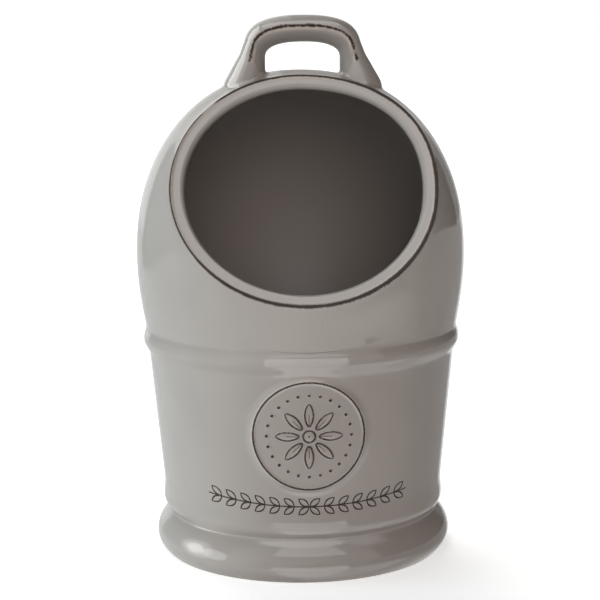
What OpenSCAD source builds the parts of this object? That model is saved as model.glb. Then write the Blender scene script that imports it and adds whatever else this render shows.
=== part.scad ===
// Glazed stoneware salt pig: a hooded jar with a slanted round mouth and a lug handle
// Millimetres, +Z up, mouth towards -Y, origin at the centre of the base

/* [Foot] */
// Height of the moulded foot
foot_h = 15.2; // [12:0.1:20]
// Height at which the foot is widest
foot_bulge_z = 6.4; // [4:0.1:9]
// How far its widest line stands out from the neck above it
foot_out = 4.9; // [2:0.1:8]
// How far the ring that the jar stands on is drawn in from that line
stand_in = 3.4; // [1.5:0.1:6]
// Fullness of the foot's outline, where 2 is a parabola
foot_fullness = 2.1; // [1.6:0.05:3]
// Width of the standing ring
stand_w = 6.5; // [4:0.1:10]
// Depth of the hollow under the base
recess_h = 3.5; // [1:0.1:6]
// How far the neck between foot and bead is drawn in from the foot of the wall
neck_in = 1.7; // [0.5:0.1:3]

/* [Foot bead] */
// Height of the small bead above the foot
bead_h = 9.2; // [6:0.1:14]
// Height of its widest line above the neck
bead_bulge_h = 5.6; // [3:0.1:6]
// How far that line stands out from the foot of the wall
bead_out = 0.7; // [0.2:0.1:4]
// Fullness of the bead's outline, where 2 is a parabola
bead_fullness = 1.9; // [1.6:0.05:3]

/* [Bucket wall] */
// Height of the plain tapered wall
wall_h = 50.7; // [46:0.5:80]
// Outer radius at the foot of the wall
wall_foot_r = 51.2; // [46:0.1:60]
// How far the top of the wall stands out from its foot
wall_flare = 4.8; // [1:0.1:8]
// Thickness of the pot all over
pot_t = 5; // [4:0.1:7]
// Thickness of the floor
floor_t = 6; // [4:0.1:9]
// Radius of the round inside corner at the floor
floor_round = 5; // [2:0.1:5.5]

/* [Waist band] */
// Height of the raised band round the waist
band_h = 7.6; // [6:0.1:12]
// Height of its widest line above its lower edge
band_bulge_h = 3.9; // [3:0.1:5.5]
// How far that line stands out from the top of the wall
band_out = 1.9; // [1:0.1:5]
// Fullness of the band's outline, where 2 is a parabola
band_fullness = 2.4; // [1.6:0.05:3]

/* [Hood] */
// Height of the skirt from the band to the hood's widest line
skirt_h = 26.3; // [22:0.1:34]
// How far the foot of the skirt stands out from the top of the wall
skirt_out = 0.8; // [0:0.1:0.9]
// How far the hood's widest line stands out from the foot of the skirt
hood_out = 3; // [1:0.1:6]
// Height of the crown above the widest line
crown_h = 67.2; // [62:0.1:74]
// Fullness of the crown, where 2 is an ellipse
crown_fullness = 2.18; // [2:0.01:2.4]

/* [Mouth] */
// Width of hood that the ridge round the mouth leaves on each side
cheek_w = 13.5; // [11:0.1:20]
// Width of the lip from the ridge to the clear opening
lip_w = 5; // [4:0.1:9]
// Tilt of the mouth from level
mouth_tilt = 54; // [48:0.5:60]
// How far the mouth's middle sits down along its own plane, below the hood's middle
mouth_drop = 0.5; // [0:0.1:3]
// How far the ridge stands proud of the hood's mean ball
ridge_proud = -0.3; // [-1:0.1:1.5]
// Width of the collar outside the ridge
collar_w = 1.6; // [1:0.1:3]
// Slope of the flare outside the ridge
flare_slope = 30; // [20:1:40]
// Depth that the lip falls from the ridge to its rounded edge
lip_fall = 0.4; // [0.2:0.1:1]
// Radius of the rounded inner edge of the lip
lip_round = 2.4; // [1.5:0.1:3.5]
// Least thickness of the lip
lip_t = 4.5; // [3:0.1:6]
// Slope of the lip's back, away from the mouth's axis
lip_back = 35; // [20:1:45]

/* [Handle] */
// Height of the handle's top above the crown
handle_rise = 19.2; // [16:0.1:26]
// Thickness of the arch over the finger hole
arch_t = 9.6; // [6:0.1:11]
// Height above the crown at which the legs turn into the arch
spring_rise = 10.2; // [8:0.1:12]
// Half the handle's width where the legs turn into the arch
handle_half_w = 20.9; // [18:0.1:24]
// How far each leg leans out between there and the height of the crown
leg_lean = 2; // [0:0.1:4]
// Half the width of the finger hole
hole_half_w = 13.5; // [11:0.1:14]
// Height above the crown at which the hole's sides turn into its round top
hole_rise = 3.9; // [2:0.1:6]
// Depth of the handle from front to back at its top
handle_d = 13; // [10:0.1:14]
// Distance of the handle behind the jar's axis
handle_back = 3; // [2.5:0.1:8]
// Distance of the handle to the right of the axis, as it was luted on by hand
handle_side = 1.5; // [0:0.1:3]
// How far each foot of the handle flares outwards
foot_flare = 4.7; // [3:0.1:8]
// How much deeper each foot is than the top
foot_spread = 4; // [2:0.1:4.5]
// Drop below the legs' top at which the flare starts
flare_drop = 3.5; // [0:0.1:6]
// Height over which the feet flare
flare_h = 12.5; // [8:0.1:14]
// Fullness of the arch's outer corners, where 2 is an ellipse
arch_fullness = 2.35; // [2:0.05:3.2]
// Fullness of the finger hole's corners, where 2 is an ellipse
hole_fullness = 2.8; // [2:0.05:3.2]

/* [Medallion] */
// Radius of the raised round medallion
medallion_r = 19.5; // [15:0.1:21]
// Height of its centre above the foot of the wall
medallion_rise = 29; // [24:0.1:30]
// Relief of the medallion
medallion_t = 1.2; // [0.8:0.1:2]

/* [Hidden] */
$fn = 144;

// Film of slip between pieces that meet on curved faces
slip = 0.06;
// Overrun of every cut
over = 1;

glaze = "#b2ada5";

// Radii of the stacked pieces
neck_r = wall_foot_r - neck_in;
foot_r = neck_r + foot_out;
stand_r = foot_r - stand_in;
bead_r = wall_foot_r + bead_out;
wall_top_r = wall_foot_r + wall_flare;
band_r = wall_top_r + band_out;
skirt_foot_r = wall_top_r + skirt_out;
hood_r = skirt_foot_r + hood_out;
ridge_r = hood_r - cheek_w;
mouth_r = ridge_r - lip_w;

// Heights of the stacked pieces
neck_z = foot_h;
wall_z = neck_z + bead_h;
band_z = wall_z + wall_h;
skirt_z = band_z + band_h;
spring_z = skirt_z + skirt_h;
crown_z = spring_z + crown_h;

// Mouth: the ridge circle lies on a ball of the hood's mean radius
mouth_ball = (hood_r + crown_h) / 2 + ridge_proud;
mouth_out = sqrt(mouth_ball * mouth_ball - ridge_r * ridge_r);
mouth_up = (crown_h - hood_r) / 2 - mouth_drop;
mouth_y = mouth_up * cos(mouth_tilt) - mouth_out * sin(mouth_tilt);
mouth_z = spring_z + mouth_up * sin(mouth_tilt) + mouth_out * cos(mouth_tilt);
seat_r = ridge_r + collar_w;
seat_depth = mouth_out / 2;

// Points of a quarter of a full ellipse, from the side to the top
function quarter(rx, ry, fullness, steps) = [
    for (i = [0 : steps])
        let (a = 90 * i / steps)
        [rx * pow(cos(a), 2 / fullness), ry * pow(sin(a), 2 / fullness)]
];

// Points of a bulge in an outline: out to its widest line, then back in
function bulge(r0, z0, r_wide, z_wide, r1, z1, fullness, steps = 10) = concat(
    [for (i = [0 : steps])
        let (share = 1 - i / steps)
        [r_wide - (r_wide - r0) * pow(share, fullness), z_wide - (z_wide - z0) * share]],
    [for (i = [1 : steps])
        let (share = i / steps)
        [r_wide - (r_wide - r1) * pow(share, fullness), z_wide + (z1 - z_wide) * share]]
);

// Outline of the hood from the skirt's foot to the crown, drawn in by an inset
function hood_outline(inset, steps) = concat(
    [for (i = [0 : steps / 2])
        let (share = 2 * i / steps)
        [skirt_foot_r - inset + (hood_r - skirt_foot_r) * sin(90 * share), skirt_z + skirt_h * share]],
    [for (p = quarter(hood_r - inset, crown_h - inset, crown_fullness, steps))
        if (p[1] > 0) [p[0], spring_z + p[1]]]
);

// Solid bounded by the hood's outer face, grown by a margin
module hood_solid(margin = 0) {
    rotate_extrude()
        polygon(concat([[0, skirt_z]], hood_outline(-margin, 40)));
}

// Hollow inside the hood, down past its lower edge by an overrun
module hood_hollow(below = over) {
    rotate_extrude()
        polygon(concat(
            [[0, skirt_z - below], [skirt_foot_r - pot_t, skirt_z - below]],
            hood_outline(pot_t, 32)
        ));
}

module at_mouth() {
    translate([0, mouth_y, mouth_z])
        rotate([mouth_tilt, 0, 0])
            children();
}

// Moulded foot with the floor and the hollow under it
module foot_ring() {
    inner_r = neck_r - pot_t;
    hollow_r = stand_r - stand_w;
    floor_z = recess_h + floor_t;
    corner_r = min(floor_round, foot_h - floor_z);
    color(glaze)
        rotate_extrude()
            polygon(concat(
                [[0, recess_h], [hollow_r - recess_h, recess_h], [hollow_r, 0]],
                bulge(stand_r, 0, foot_r, foot_bulge_z, neck_r, foot_h, foot_fullness),
                [[inner_r, foot_h]],
                [for (a = [0 : 15 : 90])
                    [inner_r - corner_r * (1 - cos(a)), floor_z + corner_r * (1 - sin(a))]],
                [[0, floor_z]]
            ));
}

// Small bead between the foot and the wall
module foot_bead() {
    color(glaze)
        rotate_extrude()
            polygon(concat(
                [[neck_r - pot_t, neck_z]],
                bulge(neck_r, neck_z, bead_r, neck_z + bead_bulge_h, wall_foot_r, wall_z, bead_fullness),
                [[wall_foot_r - pot_t, wall_z]]
            ));
}

// Plain tapered wall of the bucket
module bucket_wall() {
    color(glaze)
        rotate_extrude()
            polygon([
                [wall_foot_r - pot_t, wall_z],
                [wall_foot_r, wall_z],
                [wall_top_r, band_z],
                [wall_top_r - pot_t, band_z]
            ]);
}

// Raised band that covers the joint of the bucket and the hood
module waist_band() {
    color(glaze)
        rotate_extrude()
            polygon(concat(
                [[wall_top_r - pot_t, band_z]],
                bulge(
                    wall_top_r, band_z, band_r, band_z + band_bulge_h, skirt_foot_r, skirt_z, band_fullness
                ),
                [[skirt_foot_r - pot_t, skirt_z]]
            ));
}

// Everything in front of the flare that leads out from the ridge
module flare_front() {
    reach = hood_r - ridge_r;
    rotate_extrude()
        polygon([
            [0, 0],
            [ridge_r, 0],
            [ridge_r + reach, -reach * tan(flare_slope)],
            [ridge_r + reach, reach],
            [0, reach]
        ]);
}

// Hooded upper shell, open at the mouth
module hood() {
    color(glaze)
        difference() {
            hood_solid();
            hood_hollow();
            at_mouth() {
                translate([0, 0, -seat_depth])
                    cylinder(r = seat_r, h = seat_depth + hood_r);
                flare_front();
            }
        }
}

// Collar round the mouth: ridge, flat lip and rounded inner edge, with the back sloped away
module mouth_rim() {
    outer_r = seat_r - slip;
    round_r = mouth_r + lip_round;
    round_z = lip_fall + lip_round;
    color(glaze)
        difference() {
            at_mouth()
                rotate_extrude()
                    polygon(concat(
                        [
                            [outer_r, -round_z - (outer_r - mouth_r) / tan(lip_back)],
                            [outer_r, -(outer_r - ridge_r) * tan(flare_slope)],
                            [ridge_r, 0]
                        ],
                        [for (a = [0 : 10 : 90])
                            [round_r - lip_round * sin(a), -lip_fall - lip_round * (1 - cos(a))]]
                    ));
            intersection() {
                hood_hollow(seat_r);
                at_mouth()
                    translate([0, 0, -mouth_out])
                        cylinder(r = hood_r, h = mouth_out - lip_t);
            }
        }
}

// Share of the flare that is reached at a depth below its start
function flare_share(depth) =
    let (share = max(0, min(1, depth / flare_h)))
    share * share * (3 - 2 * share);

// Half section of the handle in shares of its thickness and depth, from the outside to the hole
half_section_shares = [
    [0.5, 0.08], [0.46, 0.22], [0.37, 0.35], [0.23, 0.45], [0.06, 0.5],
    [-0.12, 0.42], [-0.29, 0.31], [-0.42, 0.19], [-0.5, 0.06]
];

// Lug handle: an arch with flared feet, swept between its outer outline and the finger hole
module handle() {
    leg_steps = 10;
    arch_steps = 28;
    leg_z = crown_z + spring_rise;
    hole_z = crown_z + hole_rise;
    sunk = foot_flare + flare_h / 2;
    arch_h = handle_rise - spring_rise;
    hole_h = handle_rise - arch_t - hole_rise;
    half_n = len(half_section_shares);
    section_shares = concat(
        half_section_shares,
        [for (i = [0 : half_n - 1])
            let (q = half_section_shares[half_n - 1 - i])
            [q[0], -q[1]]]
    );
    arch_power = 2 / arch_fullness;
    hole_power = 2 / hole_fullness;
    // Each station: outer point, hole point and flare share, for the right leg, the arch and the left leg
    leg = [for (i = [0 : leg_steps - 1])
        let (
            down = 1 - i / leg_steps,
            drop = (spring_rise + sunk) * down,
            share = flare_share(drop - flare_drop)
        )
        [
            [handle_half_w + leg_lean * drop / spring_rise + foot_flare * share, leg_z - drop],
            [hole_half_w, hole_z - (hole_rise + sunk) * down],
            share
        ]];
    arch = [for (i = [0 : arch_steps])
        let (
            a = 180 * i / arch_steps,
            c = abs(cos(a)),
            s = max(0, sin(a)),
            side = sign(cos(a))
        )
        [
            [side * handle_half_w * pow(c, arch_power), leg_z + arch_h * pow(s, arch_power)],
            [side * hole_half_w * pow(c, hole_power), hole_z + hole_h * pow(s, hole_power)],
            0
        ]];
    left = [for (i = [0 : leg_steps - 1])
        let (st = leg[leg_steps - 1 - i])
        [[-st[0][0], st[0][1]], [-st[1][0], st[1][1]], st[2]]];
    stations = concat(leg, arch, left);
    n = len(section_shares);
    rings = len(stations);
    points = [for (st = stations) for (q = section_shares)
        let (mid = (st[0] + st[1]) / 2, span = st[0] - st[1], p = mid + span * q[0])
        [handle_side + p[0], handle_back - q[1] * (handle_d + foot_spread * st[2]), p[1]]];
    faces = concat(
        [[for (j = [0 : n - 1]) j]],
        [for (i = [0 : rings - 2]) for (j = [0 : n - 1])
            let (k = (j + 1) % n)
            [i * n + j, (i + 1) * n + j, (i + 1) * n + k, i * n + k]],
        [[for (j = [0 : n - 1]) rings * n - 1 - j]]
    );
    color(glaze)
        difference() {
            polyhedron(points, faces, convexity = 6);
            hood_solid(slip);
        }
}

// Plain raised medallion on the front of the wall
module medallion() {
    centre_z = wall_z + medallion_rise;
    lean = wall_flare / wall_h;
    low_z = centre_z - medallion_r - over;
    high_z = centre_z + medallion_r + over;
    low_r = wall_foot_r + (low_z - wall_z) * lean;
    high_r = wall_foot_r + (high_z - wall_z) * lean;
    color(glaze)
        intersection() {
            rotate_extrude()
                polygon([
                    [low_r + slip, low_z],
                    [low_r + medallion_t, low_z],
                    [high_r + medallion_t, high_z],
                    [high_r + slip, high_z]
                ]);
            translate([0, 0, centre_z])
                rotate([90, 0, 0])
                    cylinder(r = medallion_r, h = high_r + medallion_t + over);
        }
}

foot_ring();
foot_bead();
bucket_wall();
waist_band();
hood();
mouth_rim();
handle();
medallion();
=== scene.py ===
import math

import bmesh
import bpy
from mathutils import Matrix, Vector


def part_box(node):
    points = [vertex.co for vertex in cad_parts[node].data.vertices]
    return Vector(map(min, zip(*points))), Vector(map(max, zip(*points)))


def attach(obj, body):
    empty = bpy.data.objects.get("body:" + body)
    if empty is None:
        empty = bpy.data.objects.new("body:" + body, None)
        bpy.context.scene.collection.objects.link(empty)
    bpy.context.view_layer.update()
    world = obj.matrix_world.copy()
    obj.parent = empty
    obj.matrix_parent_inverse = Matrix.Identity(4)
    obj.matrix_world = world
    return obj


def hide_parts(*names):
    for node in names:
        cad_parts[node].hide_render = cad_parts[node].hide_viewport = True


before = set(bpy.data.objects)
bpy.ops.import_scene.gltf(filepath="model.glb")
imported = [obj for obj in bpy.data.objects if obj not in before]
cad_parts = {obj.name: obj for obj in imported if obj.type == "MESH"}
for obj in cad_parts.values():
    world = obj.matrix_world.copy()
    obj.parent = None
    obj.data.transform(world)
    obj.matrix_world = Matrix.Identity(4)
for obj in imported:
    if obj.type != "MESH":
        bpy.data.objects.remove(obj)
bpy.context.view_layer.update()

# Sizes are in millimetres, and each finished mesh is scaled to metres
MM = 0.001


def top(node):
    """Height of a node's highest point, in millimetres."""
    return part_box(node)[1].z / MM


def reach(node):
    """Half of a node's width, in millimetres."""
    return (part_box(node)[1].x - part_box(node)[0].x) / 2 / MM


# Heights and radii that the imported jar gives
neck_z = top("foot_ring")
wall_z = top("foot_bead")
band_z = top("bucket_wall")
skirt_z = top("waist_band")
crown_z = top("hood")
handle_top = top("handle")
foot_r = reach("foot_ring")
bead_r = reach("foot_bead")
wall_top_r = reach("bucket_wall")
band_r = reach("waist_band")
hood_r = reach("hood")
disc_r = reach("medallion")

# The foot, the bead and the wall
stand_r = 51
stand_w = 6.5
recess_h = 3.5
foot_wide_z = 6.4
foot_fullness = 2.1
neck_r = 49.5
floor_z = 9.5
floor_round = 5
bead_wide_z = neck_z + 5.6
bead_fullness = 1.9
wall_foot_r = 51.2
pot_t = 5

# The band and the hood
band_wide_z = band_z + 3.9
band_fullness = 2.4
skirt_foot_r = 56.8
spring_z = skirt_z + 26.3
crown_h = crown_z - spring_z
crown_fullness = 2.18

# The mouth: a ridge circle in a tilted plane, with the lip inside it
ridge_r = 46.3
mouth_r = 41.3
mouth_tilt = math.radians(54)
mouth_mid = Vector((0, -32.92, 136.88))
mouth_across = Vector((1, 0, 0))
mouth_up = Vector((0, math.cos(mouth_tilt), math.sin(mouth_tilt)))
mouth_out = mouth_across.cross(mouth_up)

# The mouth was cut by hand: its outline runs out a little at the upper right. Angles are in degrees
pull_out = 2.0
pull_angle = 40
pull_half = 48

# How far from the ridge the hood's skin is led onto the dome, and where its rows near the mouth end
lead = 11
near_end = lead + 0.5

# How many faces go round the jar, and the angle from which an edge stays sharp
TURN_STEPS = 256
CREASE = math.radians(38)


def make_camera():
    """The photograph's view: a long lens, a little above the jar and to its left. Angles are in radians."""
    distance, height, offset = 0.627, 0.196, 0.00035
    pitch, yaw, roll = 0.165, math.radians(2.4), 0.010
    sensor, lens_px, photo_px = 36, 1723, 600
    along = Vector((math.sin(yaw), math.cos(yaw), 0))
    right = Vector((math.cos(yaw), -math.sin(yaw), 0))
    look = along * math.cos(pitch) - Vector((0, 0, math.sin(pitch)))
    side = (right - right.cross(look) * roll).normalized()
    data = bpy.data.cameras.new("camera")
    data.sensor_width = sensor
    data.lens = sensor * lens_px / photo_px
    data.clip_start, data.clip_end = 0.05, 20
    camera = bpy.data.objects.new("camera", data)
    bpy.context.scene.collection.objects.link(camera)
    turn = camera.matrix_world.to_3x3()
    turn.col[0] = side
    turn.col[1] = side.cross(look)
    turn.col[2] = look * -1
    camera.matrix_world = turn.to_4x4()
    camera.location = Vector((0, 0, height)) - along * distance - right * offset
    bpy.context.scene.camera = camera


def piece(name, bm, material, nodes):
    """Closes a mesh, scales it to metres and sets it on the jar in place of its CAD nodes."""
    merge = 0.0005
    bmesh.ops.remove_doubles(bm, verts=bm.verts, dist=merge)
    bmesh.ops.recalc_face_normals(bm, faces=bm.faces)
    bmesh.ops.scale(bm, vec=(MM, MM, MM), verts=bm.verts)
    for face in bm.faces:
        face.smooth = True
    mesh = bpy.data.meshes.new(name)
    bm.to_mesh(mesh)
    bm.free()
    mesh.set_sharp_from_angle(angle=CREASE)
    mesh.materials.append(material)
    made = bpy.data.objects.new(name, mesh)
    bpy.context.scene.collection.objects.link(made)
    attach(made, "root")
    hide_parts(*nodes)
    return made


def wear_map(made, name, value_at):
    """Keeps a value for each vertex, taken at its place in millimetres, for the material to read."""
    layer = made.data.attributes.new(name, "FLOAT", "POINT")
    layer.data.foreach_set("value", [value_at(vert.co / MM) for vert in made.data.vertices])


def chain(bm, points, closed):
    """Points joined by edges, as a line or as a loop."""
    verts = [bm.verts.new(p) for p in points]
    after = verts[1:] + verts[:1] if closed else verts[1:]
    return verts + [bm.edges.new(pair) for pair in zip(verts, after)]


def spin_round(bm, outline, steps):
    """Spins an outline one full turn round the jar's axis."""
    bmesh.ops.spin(
        bm, geom=outline, cent=(0, 0, 0), axis=(0, 0, 1), angle=2 * math.pi, steps=steps, use_merge=True
    )


def turned(points):
    """An outline of radius and height, turned round the jar's axis as on a wheel."""
    bm = bmesh.new()
    spin_round(bm, chain(bm, [(r, 0, z) for r, z in points], points[0][0] > 0), TURN_STEPS)
    return bm


def wrapped(rows, steps, place, closed):
    """A spun strip of rows, each vertex of which is then placed by its angle and its row."""
    bm = bmesh.new()
    row_of = bm.verts.layers.int.new("row")
    strip = chain(bm, [(1 + i, 0, 0) for i in range(rows)], closed)
    for i, vert in enumerate(strip[:rows]):
        vert[row_of] = i
    spin_round(bm, strip, steps)
    for vert in bm.verts:
        vert.co = place(math.atan2(vert.co.y, vert.co.x), vert[row_of])
    return bm


def solve(above, low, high):
    """The value between low and high at which above() turns true."""
    halvings = 24
    for _ in range(halvings):
        middle = (low + high) / 2
        if above(middle):
            high = middle
        else:
            low = middle
    return (low + high) / 2


def ease(share):
    """Goes smoothly from 0 to 1 as share does, and stays there past both ends."""
    share = max(0, min(1, share))
    return share * share * (3 - 2 * share)


def bulge(r0, z0, r_wide, z_wide, r1, z1, fullness):
    """Points of a rounded band: out to its widest line, then back in."""
    count = 14
    upper = [i / count for i in range(count + 1)]
    lower = [1 - s for s in upper]
    return [
        (r_wide - (r_wide - r0) * s ** fullness, z_wide - (z_wide - z0) * s) for s in lower
    ] + [(r_wide - (r_wide - r1) * s ** fullness, z_wide + (z1 - z_wide) * s) for s in upper[1:]]


# Where the glaze rounds the outline: a height, how far from it, and how many times it is smoothed
POOLS = [(0, 200, 5), (neck_z, 2, 12), (wall_z, 5, 110), (band_z, 3, 30)]


def glazed(points):
    """The outline as the glaze leaves it: every line and corner softened a little."""
    step = 0.25
    fine = [Vector(points[0])]
    for a, b in zip(points, points[1:]):
        a, b = Vector(a), Vector(b)
        count = max(1, round((b - a).length / step))
        fine += [a.lerp(b, i / count) for i in range(1, count + 1)]
    for height, near, passes in POOLS:
        for _ in range(passes):
            fine = [fine[0]] + [
                (p + 2 * q + r) / 4 if abs(q.y - height) < near else q
                for p, q, r in zip(fine, fine[1:], fine[2:])
            ] + [fine[-1]]
    return fine


def thinned(points):
    """The points that the bends need, with long straight stretches thinned out."""
    longest, bend = 3, math.radians(1.5)
    kept = [points[0]]
    heading = points[1] - points[0]
    for here, after in zip(points[1:], points[2:]):
        way = after - here
        if way.angle(heading) > bend or (here - kept[-1]).length > longest:
            kept.append(here)
            heading = way
    return kept + [points[-1]]


# The outer outline from the standing ring over the band to a first point of the skirt
skirt_point = (skirt_foot_r + 0.3, skirt_z + 3)
outer_line = thinned(glazed(
    bulge(stand_r, 0, foot_r, foot_wide_z, neck_r, neck_z, foot_fullness)
    + bulge(neck_r, neck_z, bead_r, bead_wide_z, wall_foot_r, wall_z, bead_fullness)
    + bulge(wall_top_r, band_z, band_r, band_wide_z, skirt_foot_r, skirt_z, band_fullness)
    + [skirt_point]
))


def stretch(z0, z1):
    """The outer outline between two heights, with an end point at each."""
    def at(z):
        for a, b in zip(outer_line, outer_line[1:]):
            if a.y <= z <= b.y:
                return a.lerp(b, (z - a.y) / (b.y - a.y))
        return outer_line[0]

    gap = 0.05
    return [tuple(at(z0))] + [tuple(p) for p in outer_line if z0 + gap < p.y < z1 - gap] + [tuple(at(z1))]


def between(z, z0, z1, r0, r1):
    """Radius at a height of a straight wall from r0 at z0 to r1 at z1."""
    return r0 + (r1 - r0) * (z - z0) / (z1 - z0)


def wall_r(z):
    """Outside radius of the plain wall at a height."""
    return between(z, wall_z, band_z, wall_foot_r, wall_top_r)


def inner_r(z):
    """Radius of the hollow at a height."""
    if z <= wall_z:
        return between(z, neck_z, wall_z, neck_r, wall_foot_r) - pot_t
    if z <= band_z:
        return wall_r(z) - pot_t
    return between(z, band_z, skirt_z, wall_top_r, skirt_foot_r) - pot_t


def make_foot(coat):
    """The moulded foot, with the jar's floor and the hollow under it."""
    ring_in = stand_r - stand_w
    stand_z, stand_edge_z, corner_steps = 0.02, 0.35, 10
    recess = [
        (0, recess_h), (ring_in - 4, recess_h), (ring_in - 1.5, recess_h - 0.4),
        (ring_in - 0.4, 1.2), (ring_in, 0.4),
    ]
    ring = [(ring_in + 0.5, stand_z), (stand_r - 0.6, stand_z)]
    corner_r = inner_r(neck_z)
    corner = [
        (corner_r - floor_round * (1 - math.cos(a)), floor_z + floor_round * (1 - math.sin(a)))
        for a in [math.radians(90 * i / corner_steps) for i in range(corner_steps + 1)]
    ]
    outline = recess + ring + stretch(stand_edge_z, neck_z) + [(corner_r, neck_z)] + corner + [(0, floor_z)]
    return piece("moulded_foot", turned(outline), coat, ["foot_ring"])


def make_ring(name, node, z0, z1, coat):
    """A ring of the wall between two heights, with its outer outline and the hollow's radius inside."""
    outline = stretch(z0, z1) + [(inner_r(z1), z1), (inner_r(z0), z0)]
    return piece(name, turned(outline), coat, [node])


def dome_r(z, inset):
    """Radius of the hood at a height, outside or drawn in by an inset."""
    if z <= spring_z:
        share = max(0, (z - skirt_z) / (spring_z - skirt_z))
        return skirt_foot_r - inset + (hood_r - skirt_foot_r) * math.sin(math.pi / 2 * share)
    share = (z - spring_z) / (crown_h - inset)
    if share >= 1:
        return 0
    return (hood_r - inset) * (1 - share ** crown_fullness) ** (1 / crown_fullness)


def outside_dome(p, inset=0):
    return math.hypot(p.x, p.y) > dome_r(p.z, inset)


def pull(rho, phi):
    """How far the mouth's outline is drawn out, at a radius and an angle."""
    turn = (math.degrees(phi) - pull_angle) / pull_half
    fade = 1 - max(0, min(1, (rho - ridge_r) / lead))
    return pull_out * math.cos(math.pi / 2 * max(-1, min(1, turn))) ** 2 * fade ** 2


def mouth_point(rho, phi, w):
    """A point given by its radius, angle and height over the mouth's plane."""
    rho += pull(rho, phi)
    return mouth_mid + rho * (math.cos(phi) * mouth_across + math.sin(phi) * mouth_up) + w * mouth_out


def dome_w(rho, phi, inset=0):
    """Height over the mouth's plane at which a line along the mouth's axis leaves the hood."""
    lowest, highest = -34, 14
    return solve(lambda w: outside_dome(mouth_point(rho, phi, w), inset), lowest, highest)


ridge_gaps = {}


def skin_w(rho, phi):
    """The hood's outer skin near the mouth: the dome, led smoothly up or down to the ridge."""
    key = round(phi, 5)
    if key not in ridge_gaps:
        ridge_gaps[key] = dome_w(ridge_r, phi)
    collar_h, collar_fall = 0.55, 1.0
    away = rho - ridge_r
    share = min(1, max(0, away / lead))
    led = (1 - share) ** 3 * (1 + 3 * share + 6 * share ** 2)
    return dome_w(rho, phi) - (ridge_gaps[key] + collar_h) * led + collar_h * math.exp(-away / collar_fall)


def on_dome(p, inset=0):
    """The point moved out from the middle of the hood to its face."""
    middle = Vector((0, 0, spring_z - 6))
    way = p - middle
    least, most = 0.3, 2.5
    return middle + way * solve(lambda k: outside_dome(middle + way * k, inset), least, most)


def hood_rows():
    """The hood's section from the ridge over the dome to the skirt, and back inside to the mouth."""
    far_steps, far_growth, inside_steps = 60, 1.35, 40
    near = [0, 0.12, 0.26, 0.42, 0.6, 0.82, 1.1, 1.45, 1.9, 2.5, 3.2, 4.1, 5.2, 6.5, 8, 9.7, near_end]
    far = [(i / far_steps) ** far_growth for i in range(1, far_steps + 1)]
    inside = [1 - i / inside_steps for i in range(inside_steps + 1)]
    return (
        [("near", d) for d in near] + [("far", t) for t in far] + [("foot", 0)]
        + [("inside", t) for t in inside]
    )


def make_hood(coat):
    """The domed hood, open at the mouth, with a fine bead of glaze where it meets the band."""
    rows = hood_rows()
    bead_out, bead_fall = 0.42, 0.55
    starts = {}

    def start_of(kind, phi):
        """Where the rows of one kind set out from, kept for each angle."""
        key = (kind, round(phi, 5))
        if key not in starts:
            rho, inset = (ridge_r + near_end, 0) if kind == "far" else (ridge_r, pot_t)
            starts[key] = mouth_point(rho, phi, dome_w(rho, phi, inset))
        return starts[key]

    def place(phi, row):
        kind, value = rows[row]
        rim = Vector((math.cos(phi), math.sin(phi), 0))
        if kind == "near":
            return mouth_point(ridge_r + value, phi, skin_w(ridge_r + value, phi))
        if kind == "far":
            p = on_dome(start_of("far", phi).lerp(rim * skirt_foot_r + Vector((0, 0, skirt_z)), value))
            p.z = max(p.z, skirt_z)
            out = bead_out * math.exp(-(p.z - skirt_z) / bead_fall)
            return p + Vector((p.x, p.y, 0)).normalized() * out
        inner_foot = rim * (skirt_foot_r - pot_t) + Vector((0, 0, skirt_z))
        if kind == "foot":
            return inner_foot
        return on_dome(start_of(kind, phi).lerp(inner_foot, value), pot_t)

    return piece("hood_shell", wrapped(len(rows), TURN_STEPS, place, True), coat, ["hood"])


def make_mouth_rim(coat):
    """The lip: from the crest of the ridge over the flat face and the round edge to the hollow."""
    crest, crest_in, crest_low, crest_flat = 0.55, 0.15, 0.04, 0.35
    fall, edge_r, edge_steps = 0.3, 1.8, 12
    least_t, back_slope = 4.5, math.tan(math.radians(35))
    lip = [(ridge_r, 0)]
    lip += [
        (ridge_r - crest_in - crest * math.sin(a), -crest_low - crest_flat * crest * (1 - math.cos(a)))
        for a in [math.radians(12 * i) for i in range(1, 7)]
    ]
    lip += [(ridge_r - 1.3, -0.27), (ridge_r - 2.0, -fall)]
    lip += [
        (mouth_r + edge_r - edge_r * math.sin(a), -fall - edge_r * (1 - math.cos(a)))
        for a in [math.radians(90 * i / edge_steps) for i in range(edge_steps + 1)]
    ]
    back = [0.25, 0.7, 1.2, 2, 3, 4, 5]

    def place(phi, row):
        if row < len(lip):
            return mouth_point(lip[row][0], phi, lip[row][1])
        out = back[row - len(lip)]
        hollow = min(-least_t, dome_w(mouth_r + out, phi, pot_t))
        return mouth_point(mouth_r + out, phi, max(hollow, -fall - edge_r - out / back_slope))

    bm = wrapped(len(lip) + len(back), TURN_STEPS, place, True)
    return piece("mouth_lip", bm, coat, ["mouth_rim"])


# The handle: its place, its arch, its hole and its legs, as in the solid
handle_x = 1.5
handle_y = 3
handle_d = 13
handle_half_w = 20.9
arch_t = 9.6
arch_fullness = 2.35
spring_rise = 10.2
leg_lean = 2
hole_half_w = 13.5
hole_rise = 3.9
foot_flare = 4.7
foot_spread = 4
flare_drop = 3.5
flare_h = 12.5
leg_z = crown_z + spring_rise
hole_z = crown_z + hole_rise
arch_h = handle_top - leg_z
hole_h = handle_top - arch_t - hole_z
sunk = foot_flare + flare_h / 2

# What the glaze and the maker's hand change on it: a rounder hole, eased shoulders and fuller legs
hole_fullness = 2.45
shoulder = 0.32
leg_swell = 0.85
swell_h = 13

# Its section: how far outside the middle the ridges lie, and how round the flanks are
ridge_share = 0.12
flank_power = 1.3


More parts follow.
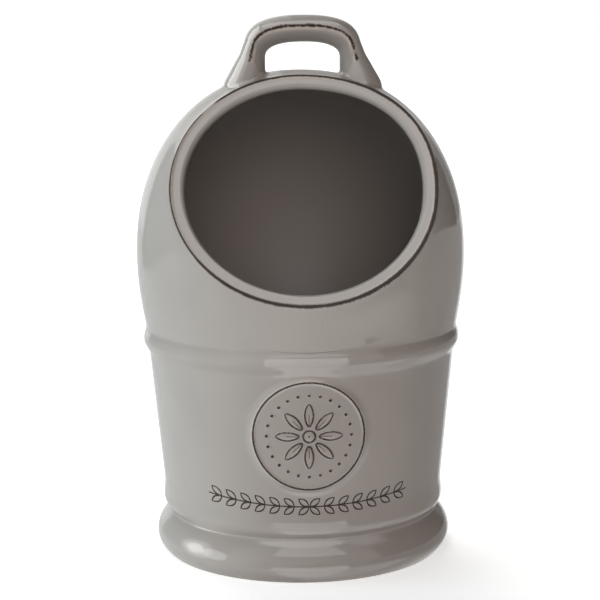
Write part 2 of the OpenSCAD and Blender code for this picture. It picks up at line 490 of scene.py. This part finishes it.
def handle_lines(along):
    """Outer point, hole point and flare. From 0 to 1 is the arch, and past it are the legs."""
    if 0 <= along <= 1:
        c, s = math.cos(math.pi * along), math.sin(math.pi * along)
        side = 1 if c >= 0 else -1
        c, s = abs(c), max(0, s)
        rise = s ** (2 / arch_fullness)
        half_w = handle_half_w - shoulder * arch_h * rise * (1 - rise)
        outer = (side * half_w * c ** (2 / arch_fullness), leg_z + arch_h * rise)
        hole = (side * hole_half_w * c ** (2 / hole_fullness), hole_z + hole_h * s ** (2 / hole_fullness))
        return outer, hole, 0
    side = 1 if along < 0 else -1
    drop = -along if along < 0 else along - 1
    open_out = ease((drop - flare_drop) / flare_h)
    swell = math.sin(math.pi * min(1, drop / swell_h))
    half_w = handle_half_w + leg_lean * drop / spring_rise + foot_flare * open_out
    half_w += leg_swell * (swell if drop < swell_h / 2 else swell ** 2)
    hole_drop = drop * (hole_rise + sunk) / (spring_rise + sunk)
    return (side * half_w, leg_z - drop), (side * hole_half_w, hole_z - hole_drop), open_out


def handle_point(along, turn):
    """A point on the handle's face: turn 0 is the front ridge, a quarter turn the outside."""
    outer, hole, open_out = handle_lines(along)
    c, s = math.cos(turn), math.sin(turn)
    depth = (handle_d + foot_spread * open_out) / 2 * c
    lift = abs(s) ** flank_power * (0.5 - ridge_share if s > 0 else 0.5 + ridge_share)
    share = 0.5 + ridge_share + (lift if s > 0 else -lift)
    x = hole[0] + (outer[0] - hole[0]) * share
    z = hole[1] + (outer[1] - hole[1]) * share
    return Vector((handle_x + x, handle_y - depth, z))


def down_leg(side, drop):
    """The place along the handle at a depth down its right leg, side 1, or its left one, side -1."""
    return -drop if side > 0 else 1 + drop


def skin_z(x, y):
    """Height of the hood's outer skin over a point beside the mouth."""
    steps, slowing = 4, 1.2
    share = math.hypot(x, y) / hood_r
    z = spring_z + crown_h * (1 - share ** crown_fullness) ** (1 / crown_fullness)
    for _ in range(steps):
        p = Vector((x, y, z)) - mouth_mid
        u, v, w = p.dot(mouth_across), p.dot(mouth_up), p.dot(mouth_out)
        rho, phi = math.hypot(u, v), math.atan2(v, u)
        rho -= pull(rho - pull(rho, phi), phi)
        if rho > ridge_r + lead:
            break
        z += (skin_w(max(rho, ridge_r), phi) - w) / slowing
    return z


def make_handle(coat):
    """The lug handle: an arch with a ridge front and back, whose feet run out into the hood."""
    arch_rows, leg_rows, foot_rows, turns = 72, 16, 7, 64
    root_depth, hem_share, hem_depth = 4, 0.06, 0.6
    # Where a foot starts to turn out over the hood, and how far it runs: outside, inside, front and back
    rise_outside, rise_inside, rise_face = 0.9, 1.6, 2.0
    run_outside, run_inside, run_face = 0.8, 1.5, 2.0
    feet = {}

    def drop_to(height, side, turn):
        """How far down a leg its face comes to a height over the hood's skin."""
        drop, steps, slowing = 13, 12, 0.8
        for _ in range(steps):
            p = handle_point(down_leg(side, drop), turn)
            drop += (p.z - skin_z(p.x, p.y) - height) * slowing
        return drop

    def foot_of(side, turn):
        """The three points of the curve by which a foot runs out, its start and its middle."""
        key = (side, round(turn, 5))
        if key not in feet:
            c, s = math.cos(turn), math.sin(turn)
            around = s * s
            rise = (rise_outside if s > 0 else rise_inside) * around + rise_face * (1 - around)
            run = (run_outside if s > 0 else run_inside) * around + run_face * (1 - around)
            start = drop_to(rise, side, turn)
            low = down_leg(side, drop_to(0, side, turn))
            p0 = handle_point(down_leg(side, start), turn)
            p1 = handle_point(low, turn)
            outer, hole, _ = handle_lines(low)
            middle = Vector((handle_x + (outer[0] + hole[0]) / 2, handle_y, 0))
            way = Vector((p1.x - middle.x, p1.y - middle.y, 0)).normalized()
            p2 = p1 + way * run
            p2.z = skin_z(p2.x, p2.y) + 0.02
            feet[key] = (start, p0, p1, p2, middle)
        return feet[key]

    def place(turn, row):
        side = 1
        if row >= foot_rows + leg_rows + arch_rows / 2:
            side = -1
            row = 2 * (foot_rows + leg_rows) + arch_rows - row
        start, p0, p1, p2, middle = foot_of(side, turn)
        root = Vector((middle.x, middle.y, p2.z - root_depth))
        if row == 0:
            return root
        if row == 1:
            return p2.lerp(root, hem_share) - Vector((0, 0, hem_depth))
        if row < foot_rows:
            t = min(1, (foot_rows - row) / (foot_rows - 2))
            return p0 * (1 - t) ** 2 + p1 * 2 * t * (1 - t) + p2 * t * t
        if row < foot_rows + leg_rows:
            drop = start * (1 - (row - foot_rows) / leg_rows)
            return handle_point(down_leg(side, drop), turn)
        along = (row - foot_rows - leg_rows) / arch_rows
        return handle_point(along if side > 0 else 1 - along, turn)

    rows = 2 * (foot_rows + leg_rows) + arch_rows + 1
    made = piece("lug_handle", wrapped(rows, turns, place, False), coat, ["handle"])

    ridge_steps, worn_down = 120, 5
    ridge = [handle_point(i / ridge_steps, 0) for i in range(ridge_steps + 1)]
    ridge += [handle_point(down_leg(side, i), 0) for i in range(1, worn_down + 1) for side in (1, -1)]

    def nearest(p):
        return min(ridge, key=lambda q: math.hypot(p.x - q.x, p.z - q.z))

    def from_hole(p):
        return math.hypot(p.x - handle_x, p.z - hole_z)

    wear_map(made, "ridge", lambda p: math.hypot(p.x - nearest(p).x, p.z - nearest(p).z))
    wear_map(made, "outward", lambda p: from_hole(p) - from_hole(nearest(p)))
    return made


# The medallion: a plate in a worn ring, whose flank runs out into the wall
disc_z = 53.4
plate_h = 0.8
rim_h = 1.2
ring_mid = disc_r - 0.35
flank_r = disc_r + 0.4
flank_w = 2.6

# The flower on its plate
petals = 8
petal_start = 3.3
petal_end = 11.6
petal_half_w = 1.75
vein_end = 0.62
boss_r = 2.1
line_half_w = 0.55
dots = 24
dot_r = 0.72
dot_ring_r = 14.6
relief_share = 0.8


def bump_at(distance, half_width):
    """A rounded line: 1 on its middle, 0 past its half width."""
    return ease(1 - abs(distance) / half_width)


def from_spoke(angle, count):
    """How far an angle is from the nearest of a number of even spokes, in radians."""
    return ((angle / (2 * math.pi) * count + 0.5) % 1 - 0.5) * 2 * math.pi / count


def flower(u, v):
    """Height and wear of an eight-petalled flower with a ring of dots, over the medallion's plate."""
    rho, angle = math.hypot(u, v), math.atan2(v, u)
    across = from_spoke(angle, petals) * rho
    height = wear = 0
    if petal_start < rho < petal_end:
        t = (rho - petal_start) / (petal_end - petal_start)
        half = petal_half_w * math.sin(math.pi * t ** 0.8) ** 0.75 * (0.55 + 0.6 * t)
        outline = bump_at(abs(across) - half, line_half_w)
        vein = bump_at(across, 0.3) * ease((vein_end - t) / 0.1) * 0.8
        body = ease((half - abs(across)) / 0.8)
        height = max(0.5 * outline, 0.25 * body, 0.35 * vein)
        wear = max(outline, vein)
    boss = bump_at(rho - boss_r, 0.6)
    height = max(height, 0.5 * boss, 0.45 * ease((boss_r - 0.2 - rho) / 0.9))
    wear = max(wear, boss, bump_at(rho, 0.6))
    away = math.hypot(from_spoke(angle, dots) * rho, rho - dot_ring_r)
    dot = ease((dot_r - away) / 0.4)
    return max(height, 0.5 * dot), max(wear, dot)


def make_medallion(coat):
    """The raised medallion: a plate with a flower, a worn ring and a flank that runs out into the wall."""
    plate_steps, ring_steps, flank_steps, turns = 96, 12, 14, 288
    ring_w, edge_in, flank_power, seat_depth = 1.1, 0.3, 2.2, 1.2
    plate = [ring_mid * 0.96 * i / plate_steps for i in range(plate_steps + 1)]
    ring = [ring_mid - 0.6 + 0.12 * i for i in range(ring_steps)]
    flank = [flank_r + flank_w * i / flank_steps for i in range(flank_steps + 1)]
    radii = plate + [r for r in ring if r > plate[-1]] + [r for r in flank if r > ring[-1]]

    def relief(u, v):
        rho = math.hypot(u, v)
        if rho > ring_mid:
            share = (rho - ring_mid - edge_in) / (flank_w + flank_r - ring_mid - edge_in)
            return rim_h * (1 - max(0, min(1, share))) ** flank_power
        height = plate_h + (rim_h - plate_h) * ease((rho - ring_mid + ring_w) / ring_w)
        return height + flower(u, v)[0] * relief_share

    def place(phi, row):
        seen = row < len(radii)
        rho = radii[row] if seen else radii[-1] * (len(radii) + 1 - row) / 2
        u, v = rho * math.cos(phi), rho * math.sin(phi)
        h = relief(u, v) if seen else -seat_depth
        z = disc_z + v
        return Vector((u, -math.sqrt((wall_r(z) + h) ** 2 - u * u), z))

    bm = wrapped(len(radii) + 2, turns, place, False)
    made = piece("medallion_disc", bm, coat, ["medallion"])
    wear_map(made, "wear", lambda p: flower(p.x, p.z - disc_z)[1])
    return made


class Graph:
    """Short calls for building a node tree."""

    def __init__(self, tree):
        self.tree = tree

    def add(self, kind, settings=None, **links):
        """A node with its settings, and its inputs by name, with _ for a space."""
        node = self.tree.nodes.new(kind)
        for key, value in (settings or {}).items():
            setattr(node, key, value)
        for key, value in links.items():
            self.feed(node.inputs[key.replace("_", " ")], value)
        return node

    def feed(self, socket, value):
        """Links an output to an input, or sets the input's value."""
        if isinstance(value, bpy.types.NodeSocket):
            self.tree.links.new(value, socket)
        else:
            socket.default_value = value

    def math(self, operation, *values, clamp=False):
        node = self.add("ShaderNodeMath", {"operation": operation, "use_clamp": clamp})
        for socket, value in zip(node.inputs, values):
            self.feed(socket, value)
        return node.outputs[0]

    def plus(self, first, *others):
        for value in others:
            first = self.math("ADD", first, value)
        return first

    def times(self, first, *others):
        for value in others:
            first = self.math("MULTIPLY", first, value)
        return first

    def minus(self, a, b):
        return self.math("SUBTRACT", a, b)

    def size(self, value):
        """The value without its sign."""
        return self.math("ABSOLUTE", value)

    def degrees(self, operation, *values):
        """An angle from an arc function, in degrees."""
        return self.times(self.math(operation, *values), 180 / math.pi)

    def mix(self, share, a, b):
        """Colour a, turned into b as share goes from 0 to 1."""
        node = self.add("ShaderNodeMix", {"data_type": "RGBA"})
        self.feed(node.inputs[0], share)
        self.feed(node.inputs[6], a)
        self.feed(node.inputs[7], b)
        return node.outputs[2]

    def ramp(self, value, low, high, start=0, end=1):
        """Goes smoothly from start to end while value goes from low to high."""
        node = self.add("ShaderNodeMapRange", {"interpolation_type": "SMOOTHSTEP"})
        for socket, v in zip(node.inputs, (value, low, high, start, end)):
            self.feed(socket, v)
        return node.outputs[0]

    def within(self, value, low, high, soft):
        """1 between low and high, with soft edges."""
        rise = self.ramp(value, low - soft, low + soft)
        fall = self.ramp(value, high - soft, high + soft, 1, 0)
        return self.times(rise, fall)

    def worn_line(self, away, half, full=1.3):
        """A worn line by the distance from its middle and its half width, with soft edges."""
        return self.math("SUBTRACT", full, self.math("DIVIDE", away, half), clamp=True)

    def split(self, vector):
        node = self.add("ShaderNodeSeparateXYZ", Vector=vector)
        return node.outputs[0], node.outputs[1], node.outputs[2]

    def length(self, x, y):
        return self.math("SQRT", self.plus(self.math("POWER", x, 2.0), self.math("POWER", y, 2.0)))

    def place(self):
        """The jar's own coordinates, in metres."""
        return self.add("ShaderNodeTexCoord").outputs["Object"]

    def in_frame(self, middle, tilt=0):
        """The jar's coordinates from a point, with a tilt round the X axis, in millimetres."""
        node = self.add("ShaderNodeMapping", {"vector_type": "TEXTURE"}, Vector=self.place())
        node.inputs["Location"].default_value = middle * MM
        node.inputs["Rotation"].default_value = (tilt, 0, 0)
        node.inputs["Scale"].default_value = (MM, MM, MM)
        return self.split(node.outputs[0])

    def noise(self, scale, detail=2.0):
        """Even noise through the whole jar."""
        return self.add("ShaderNodeTexNoise", Vector=self.place(), Scale=scale, Detail=detail).outputs[0]

    def kept(self, name):
        """A value that a wear map keeps on the piece."""
        return self.add("ShaderNodeAttribute", {"attribute_name": name}).outputs["Fac"]


# The glaze, the paler glaze beside an edge, the bare clay of a worn edge, its brown fringe and the biscuit
GLAZE = (0.345, 0.312, 0.290, 1)
PALE = (0.47, 0.41, 0.345, 1)
WORN = (0.030, 0.021, 0.017, 1)
BROWN = (0.15, 0.095, 0.07, 1)
BISCUIT = (0.50, 0.42, 0.33, 1)


def shade(colour, level):
    """The colour made darker or lighter."""
    return [c * level for c in colour[:3]] + [1]


def hollow_shade_and_dull(g):
    """1 on the faces that look into the hollow, where shade is painted into the glaze as a darker colour and
    the glaze is made duller.
    """
    x, y, z = g.split(g.place())
    nx, ny, nz = g.split(g.add("ShaderNodeTexCoord").outputs["Normal"])
    above = g.math("MAXIMUM", g.minus(z, spring_z * MM), 0.0)
    facing = g.plus(g.times(x, nx), g.times(y, ny), g.times(above, nz))
    return g.ramp(facing, -0.002, -0.012)


def glaze(name, wear_of=None, bare_foot=False):
    """Warm grey glaze. wear_of gives the mask of its worn lines and a wider one of paler glaze."""
    material = bpy.data.materials.new(name)
    material.use_nodes = True
    g = Graph(material.node_tree)
    shader = material.node_tree.nodes["Principled BSDF"]

    # The slight change of tone, and fine pinholes in some of the cells of a pattern
    cloud = g.ramp(g.noise(22.0, 3.0), 0.3, 0.7)
    base = g.mix(cloud, shade(GLAZE, 0.955), shade(GLAZE, 1.035))
    cells = g.add("ShaderNodeTexVoronoi", Vector=g.place(), Scale=210.0)
    chosen = g.math("GREATER_THAN", g.split(cells.outputs["Color"])[0], 0.86)
    pinhole = g.times(g.ramp(cells.outputs["Distance"], 0.03, 0.075, 1, 0), chosen)
    base = g.mix(g.times(pinhole, 0.35), base, BROWN)
    rough = g.ramp(g.noise(60.0), 0.3, 0.7, 0.03, 0.05)

    # Painted shade: the faces inside the hollow get a darker glaze colour, and a rougher finish
    inside = hollow_shade_and_dull(g)
    base = g.mix(inside, base, shade(GLAZE, 0.68))
    rough = g.plus(rough, g.times(inside, 0.3))

    if wear_of:
        worn, pale = wear_of(g)
        fringe = g.ramp(worn, 0.15, 0.5)
        core = g.ramp(worn, 0.45, 0.75)
        base = g.mix(pale, base, PALE)
        base = g.mix(g.times(fringe, 0.85), base, BROWN)
        base = g.mix(core, base, WORN)
        dull = g.times(core, 0.35)
        rough = g.plus(rough, dull)
        g.feed(shader.inputs["Specular IOR Level"], g.minus(0.5, dull))
    if bare_foot:
        bare = g.ramp(g.split(g.place())[2], 0.0002, 0.0007, 1, 0)
        base = g.mix(bare, base, BISCUIT)
        rough = g.plus(rough, g.times(bare, 0.6))

    bump = g.add("ShaderNodeBump", Height=g.noise(45.0, 1.0), Strength=0.05, Distance=0.002)
    g.feed(shader.inputs["Base Color"], base)
    g.feed(shader.inputs["Roughness"], rough)
    g.feed(shader.inputs["Normal"], bump.outputs[0])
    return material


def mouth_wear(g):
    """The worn line on the mouth's ridge, thickest below and at the right, with a gap at the upper left."""
    x, y, z = g.in_frame(mouth_mid, mouth_tilt)
    angle = g.degrees("ARCTAN2", y, x)
    turn = g.math("DIVIDE", g.minus(angle, pull_angle), pull_half)
    turn = g.math("MAXIMUM", g.math("MINIMUM", turn, 1.0), -1.0)
    drawn = g.math("POWER", g.math("COSINE", g.times(turn, math.pi / 2)), 2.0)
    rho = g.minus(g.length(x, y), g.times(drawn, pull_out))

    low = g.ramp(y, -20.0, -44.0)
    right = g.ramp(x, 10.0, 40.0)
    high = g.ramp(y, 22.0, 42.0)
    half = g.plus(0.32, g.times(low, 0.26), g.times(right, 0.38), g.times(high, 0.22))
    half = g.times(half, g.plus(0.35, g.times(g.noise(1600.0, 3.0), 0.9), g.times(g.noise(260.0), 0.5)))
    inward = g.plus(g.times(right, 0.3), g.times(high, 0.25))
    line = g.worn_line(g.size(g.minus(rho, g.minus(ridge_r + 0.02, inward))), half)

    gap = g.within(angle, 131.0, 139.0, 3.0)
    near = g.ramp(g.size(z), 1.2, 2.0, 1, 0)
    beside = g.within(g.minus(rho, ridge_r), -1.3, -0.35, 0.35)
    return g.times(line, near, g.minus(1.0, gap)), g.times(beside, near, 0.35)


def handle_wear(g):
    """The worn line along the handle's ridges, with paler glaze under it."""
    away, outward = g.kept("ridge"), g.kept("outward")
    broad = g.noise(190.0)
    half = g.minus(g.plus(g.times(g.noise(1100.0, 3.0), 1.1), g.times(broad, 0.9)), 0.3)
    line = g.worn_line(away, g.math("MAXIMUM", half, 0.03), 1.25)
    line = g.times(line, g.ramp(g.noise(600.0), 0.38, 0.55, 0.6, 1))
    near = g.times(g.ramp(away, 0.9, 1.9, 1, 0), g.ramp(outward, 0.0, -0.6))
    return line, g.times(near, g.ramp(broad, 0.3, 0.6, 0.25, 0.75))


def broken(g, line):
    """A drawn line, fainter where the clay's grain holds the glaze."""
    return g.times(line, g.ramp(g.noise(1500.0, 3.0), 0.3, 0.5, 0.55, 1.0))


def medallion_wear(g):
    """The worn ring round the medallion and the worn lines of its flower."""
    x, _, z = g.in_frame(Vector((0, 0, disc_z)))
    rho = g.length(x, z)
    half = g.plus(0.16, g.times(g.noise(1500.0, 3.0), 0.38))
    ring = g.worn_line(g.size(g.minus(rho, ring_mid)), half)
    beside = g.within(g.minus(rho, disc_r), -0.05, 0.5, 0.3)
    return g.math("MAXIMUM", ring, broken(g, g.kept("wear"))), g.times(beside, 0.55)


def garland_wear(g):
    """A worn garland of leaf pairs along a hanging stem, on the wall under the medallion."""
    garland_z, half_w, sag = 27.7, 35, 0.002
    pitch, leaf_l, leaf_half_w, leaf_start = 5, 4.3, 1.0, 0.3
    lean = math.radians(38)
    x, y, z = g.in_frame(Vector((0, 0, garland_z)))
    out = g.size(x)
    over = g.size(g.minus(z, g.times(x, x, sag)))
    in_front = g.ramp(y, 0.0, -10.0)
    stem = g.ramp(over, 0.12, 0.34, 1, 0)

    step = g.times(g.math("FRACT", g.math("DIVIDE", out, pitch)), pitch)
    along = g.plus(g.times(step, math.cos(lean)), g.times(over, math.sin(lean)))
    across = g.minus(g.times(over, math.cos(lean)), g.times(step, math.sin(lean)))
    share = g.math("DIVIDE", g.minus(along, leaf_l / 2 + leaf_start), leaf_l / 2)
    half = g.times(g.minus(1.0, g.times(share, share)), leaf_half_w)
    edge = g.size(g.minus(g.size(across), half))
    leaf = g.times(g.ramp(edge, 0.14, 0.38, 1, 0), g.ramp(half, -0.25, -0.1))

    line = g.times(g.math("MAXIMUM", stem, leaf), g.ramp(out, half_w - 0.5, half_w, 1, 0), in_front)
    return broken(g, line), g.times(line, 0.3)


def make_floor():
    """A pale floor. The camera sees it white, with the jar's soft shadow."""
    half_side, paper, lift = 12, (0.8, 0.8, 0.8, 1), 0.58
    bm = bmesh.new()
    bmesh.ops.create_grid(bm, x_segments=1, y_segments=1, size=half_side)
    mesh = bpy.data.meshes.new("floor")
    bm.to_mesh(mesh)
    bm.free()
    floor = bpy.data.objects.new("floor", mesh)
    bpy.context.scene.collection.objects.link(floor)
    material = bpy.data.materials.new("pale_floor")
    material.use_nodes = True
    g = Graph(material.node_tree)
    paths = g.add("ShaderNodeLightPath")
    sheet = g.add("ShaderNodeBsdfDiffuse", Color=paper)
    glow = g.add("ShaderNodeEmission", Strength=g.times(paths.outputs["Is Camera Ray"], lift))
    both = g.add("ShaderNodeAddShader")
    g.feed(both.inputs[0], sheet.outputs[0])
    g.feed(both.inputs[1], glow.outputs[0])
    clear = g.add("ShaderNodeBsdfTransparent")
    seen = g.add("ShaderNodeMixShader")
    g.feed(seen.inputs[0], paths.outputs["Is Glossy Ray"])
    g.feed(seen.inputs[1], both.outputs[0])
    g.feed(seen.inputs[2], clear.outputs[0])
    g.feed(material.node_tree.nodes["Material Output"].inputs["Surface"], seen.outputs[0])
    mesh.materials.append(material)


# The studio. Azimuths run from the front, with the right side positive, and all angles are degrees.
# Each soft light: azimuth, elevation, how narrow it is, and its colour
LIGHTS = [
    (-90, 0, 40, (13.0, 16.1, 17.6)),
    (-75, 0, 40, (3.3, 3.1, 2.7)),
    (0, 20, 40, (4.4, 4.15, 4.0)),
    (15, 0, 40, (1.1, 0.8, 0.7)),
    (-165, 45, 40, (7.4, 7.6, 7.2)),
]


def direction(az, el):
    """The unit vector towards an azimuth and an elevation."""
    az, el = math.radians(az), math.radians(el)
    return Vector((math.sin(az) * math.cos(el), -math.cos(az) * math.cos(el), math.sin(el)))


def soft_light(g, way):
    """The sum of the soft lights, each full in one direction and smoothly weaker round it."""
    total = None
    for az, el, narrow, colour in LIGHTS:
        dot = g.add("ShaderNodeVectorMath", {"operation": "DOT_PRODUCT"})
        g.feed(dot.inputs[0], way)
        g.feed(dot.inputs[1], direction(az, el))
        share = g.times(g.plus(dot.outputs["Value"], 1.0), 0.5)
        light = g.add("ShaderNodeVectorMath", {"operation": "SCALE"})
        g.feed(light.inputs[0], colour)
        g.feed(light.inputs["Scale"], g.math("POWER", share, narrow))
        if total is None:
            total = light.outputs[0]
            continue
        both = g.add("ShaderNodeVectorMath", {"operation": "ADD"})
        g.feed(both.inputs[0], total)
        g.feed(both.inputs[1], light.outputs[0])
        total = both.outputs[0]
    return total


def mirrored_room(g, way):
    """What the glaze mirrors: grey walls, a dark card on each side, windows in front and a pale ceiling."""
    x, y, z = g.split(way)
    azimuth = g.degrees("ARCTAN2", x, g.times(y, -1.0))
    rise = g.degrees("ARCSINE", z)

    def patch(az_low, az_high, el_low, el_high, edge=0.8):
        return g.times(g.within(azimuth, az_low, az_high, edge), g.within(rise, el_low, el_high, edge))

    def grey(level):
        return (level, level, level, 1)

    # The wall behind the jar, at the right and at the left
    room = g.mix(g.ramp(azimuth, 157, 159), grey(0.9), grey(0.55))
    room = g.mix(g.ramp(azimuth, -145, -148), room, grey(1.0))

    # The card at the right, paler high up in front, and a strip behind it
    pale_top = g.times(g.ramp(rise, 36, 56), g.ramp(azimuth, 84, 96, 1, 0))
    room = g.mix(patch(58, 146, -4, 62), room, g.mix(pale_top, grey(0.03), grey(1.7)))
    room = g.mix(patch(146, 158, -4, 62), room, grey(0.28))

    # The table, from the left round to the right, and its bright part in front
    table = g.mix(g.ramp(azimuth, -60, -30), grey(0.8), grey(0.6))
    table = g.mix(g.ramp(azimuth, -140, -142), table, grey(0.75))
    table = g.mix(g.times(g.ramp(rise, -20, -33), g.ramp(azimuth, -70, 0)), table, grey(1.9))
    table_right = g.mix(g.ramp(rise, -18, -42), grey(0.45), grey(1.1))
    table = g.mix(g.ramp(azimuth, 84, 100), table, table_right)
    table = g.mix(g.ramp(azimuth, 152, 156), table, grey(0.95))
    room = g.mix(g.ramp(rise, -4.5, -3.5, 1, 0), room, table)

    # The card at the left, the window in front, its patch on the table and the ceiling
    room = g.mix(patch(-147, -62, -9, 62), room, grey(0.28))
    room = g.mix(patch(-28, 35, 33, 64, 0.5), room, grey(2.6))
    room = g.mix(patch(-28, 35, -75, -38, 0.5), room, grey(3.0))
    front = g.ramp(g.size(azimuth), 100, 150, 1, 0)
    return g.mix(g.times(g.ramp(rise, 61, 66), front), room, grey(3.6))


def make_studio():
    """Soft light on the clay, a room that only the gloss mirrors, and white behind the jar."""
    world = bpy.data.worlds.new("studio")
    bpy.context.scene.world = world
    world.use_nodes = True
    g = Graph(world.node_tree)
    way = g.add("ShaderNodeTexCoord").outputs["Generated"]
    paths = g.add("ShaderNodeLightPath")
    keen = g.math("MAXIMUM", paths.outputs["Is Glossy Ray"], paths.outputs["Is Transmission Ray"])
    colour = g.mix(keen, soft_light(g, way), mirrored_room(g, way))
    colour = g.mix(paths.outputs["Is Camera Ray"], colour, (1, 1, 1, 1))
    back = world.node_tree.nodes["Background"]
    g.feed(back.inputs["Color"], colour)
    g.feed(back.inputs["Strength"], 1)


def make_lamp(mirror, aim, az, el, half_wide, half_high, level, shape="RECTANGLE"):
    """A lamp that shows as a highlight on one piece alone, at an azimuth and elevation from a point on it."""
    distance = 0.6
    data = bpy.data.lights.new("lamp", "AREA")
    data.shape = shape
    data.size = 2 * distance * math.tan(math.radians(half_wide))
    data.size_y = 2 * distance * math.tan(math.radians(half_high))
    area = data.size * data.size_y * (math.pi / 4 if shape == "ELLIPSE" else 1)
    data.energy = level * math.pi * area
    lamp = bpy.data.objects.new("lamp", data)
    bpy.context.scene.collection.objects.link(lamp)
    way = direction(az, el)
    lamp.location = Vector(aim) * MM + way * distance
    lamp.rotation_euler = way.to_track_quat("Z", "Y").to_euler()
    lamp.visible_camera = lamp.visible_diffuse = False
    alone = bpy.data.collections.new("lit_by_lamp")
    alone.objects.link(mirror)
    lamp.light_linking.receiver_collection = alone
    lamp.light_linking.blocker_collection = alone


make_camera()
plain_glaze = glaze("grey_glaze")
mouth_glaze = glaze("worn_mouth_glaze", mouth_wear)
foot = make_foot(glaze("foot_glaze", bare_foot=True))
bead = make_ring("foot_bead_ring", "foot_bead", neck_z, wall_z, plain_glaze)
make_ring("tapered_wall", "bucket_wall", wall_z, band_z, glaze("garland_glaze", garland_wear))
band = make_ring("raised_band", "waist_band", band_z, skirt_z, plain_glaze)
make_hood(mouth_glaze)
make_mouth_rim(mouth_glaze)
handle = make_handle(glaze("worn_handle_glaze", handle_wear))
make_medallion(glaze("worn_medallion_glaze", medallion_wear))
make_floor()
make_studio()

# Each lamp: its piece, the point it is aimed at, azimuth, elevation, half angles, level and shape
foot_left = (-46, -24, 10)
foot_front = (0, -51, 5)
bead_front = (0, -51, bead_wide_z)
band_front = (0, -58, band_wide_z)
handle_mid = (handle_x, handle_y, leg_z)
LAMPS = [
    (foot, foot_left, -94, 6, 9, 15, 4.5, "ELLIPSE"),
    (foot, foot_left, -93, 5, 17, 26, 2.2, "ELLIPSE"),
    (foot, foot_left, -73, 3, 13, 18, 3, "ELLIPSE"),
    (foot, foot_front, 3, -25, 29, 11, 2),
    (bead, bead_front, 3, -20, 30, 10.5, 1.6),
    (band, band_front, 1, -1, 31, 25, 2.3),
    (handle, handle_mid, -98, 40, 24, 17, 5),
    (handle, handle_mid, -106, 17, 16, 6, 4.5),
]
for lamp in LAMPS:
    make_lamp(*lamp)

bpy.context.scene.view_settings.view_transform = "Standard"

bpy.context.view_layer.update()
